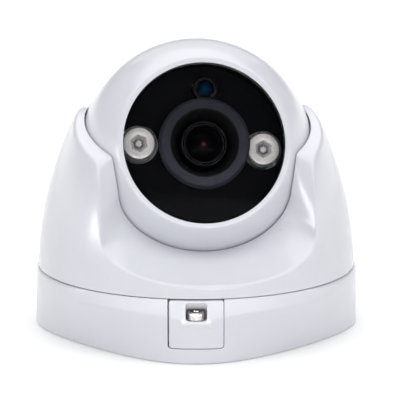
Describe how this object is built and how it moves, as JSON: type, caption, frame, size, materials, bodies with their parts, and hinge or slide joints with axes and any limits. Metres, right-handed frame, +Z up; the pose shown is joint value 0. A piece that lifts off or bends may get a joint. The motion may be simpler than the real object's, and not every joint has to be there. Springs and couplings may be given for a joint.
{
  "type": "dome cctv camera",
  "caption": "White turret dome camera: round base with four soft noses, turning cover with a U-shaped opening, and a camera ball that tilts and rolls behind a flat window.",
  "frame": {"origin": "middle of the base's underside, on the pan axis", "axes": "+Z up out of the base along the pan axis, -Y towards the front nose with the locking block, +X to the right of a viewer facing the camera"},
  "size_m": [0.122, 0.122, 0.1072],
  "materials": {
    "white_paint": "fine satin powder coat",
    "steel": "bright, lightly brushed",
    "grey_plastic": "moulded, satin",
    "rubber": "matt",
    "black_plastic": "fine matt",
    "lens_black": "anodised black, satin",
    "charcoal_plastic": "fine-textured foam rubber",
    "clear_glass": "polished",
    "lens_glass": "coated",
    "sensor_glass": "coated deep blue",
    "led_lens": "moulded optic",
    "clear_plastic": "clear moulded",
    "led_phosphor": "encapsulant",
    "board_white": "solder mask",
    "board_green": "solder mask",
    "aluminium": "brushed",
    "chip_black": "moulded package",
    "brass": "turned"
  },
  "bodies": {
    "base": {"base_housing": "white_paint", "pan_friction_ring": "grey_plastic", "cable_grommet": "rubber"},
    "lock": {"locking_block": "white_paint", "locking_screw": "steel"},
    "cover": {"cover_shell": "white_paint", "turn_plate": "grey_plastic", "ball_seat_ring": "black_plastic", "cover_screw_1": "steel", "cover_screw_2": "steel", "cover_screw_3": "steel"},
    "bush": {"cable_bush": "rubber"},
    "ball": {"front_shell": "white_paint", "rear_shell": "white_paint", "window_glass": "clear_glass", "shell_screw_1": "steel", "shell_screw_2": "steel", "shell_screw_3": "steel", "shell_seal": "rubber", "window_gasket": "rubber", "inner_mask": "black_plastic", "lens_hood": "charcoal_plastic", "lens_barrel": "lens_black", "lens_front_ring": "lens_black", "lens_front_element": "lens_glass", "lens_iris": "black_plastic", "lens_rear_element": "clear_glass", "lens_holder": "black_plastic", "light_sensor_holder": "black_plastic", "light_sensor_cell": "sensor_glass", "led_cap_left": "led_lens", "led_cap_right": "led_lens", "led_collar_left": "clear_plastic", "led_collar_right": "clear_plastic", "led_chip_left": "led_phosphor", "led_chip_right": "led_phosphor", "led_board": "board_white", "heat_spreader": "aluminium", "sensor_chip": "chip_black", "sensor_board": "board_green", "main_board": "board_green", "cable_connector": "board_white", "front_pillar_1": "brass", "front_pillar_2": "brass", "front_pillar_3": "brass", "front_pillar_4": "brass", "board_spacer_1": "brass", "board_spacer_2": "brass", "board_spacer_3": "brass", "board_spacer_4": "brass"}
  },
  "joints": [
    {"name": "lock_slide", "type": "slide", "parent": "base", "child": "lock", "axis": [0, -1, 0], "range_m": [0, 0.012]},
    {"name": "pan", "type": "hinge", "parent": "base", "child": "cover", "pos_m": [0, 0, 0.0225], "axis": [0, 0, 1], "range_deg": [-180, 180]},
    {"name": "tilt", "type": "hinge", "parent": "cover", "child": "bush", "pos_m": [0, 0, 0.0634], "axis": [-0.9945, -0.1045, 0], "range_deg": [-17.4, 57.6]},
    {"name": "roll", "type": "hinge", "parent": "bush", "child": "ball", "pos_m": [0, 0, 0.0634], "axis": [0.0997, -0.949, 0.299], "range_deg": [-180, 180]}
  ]
}
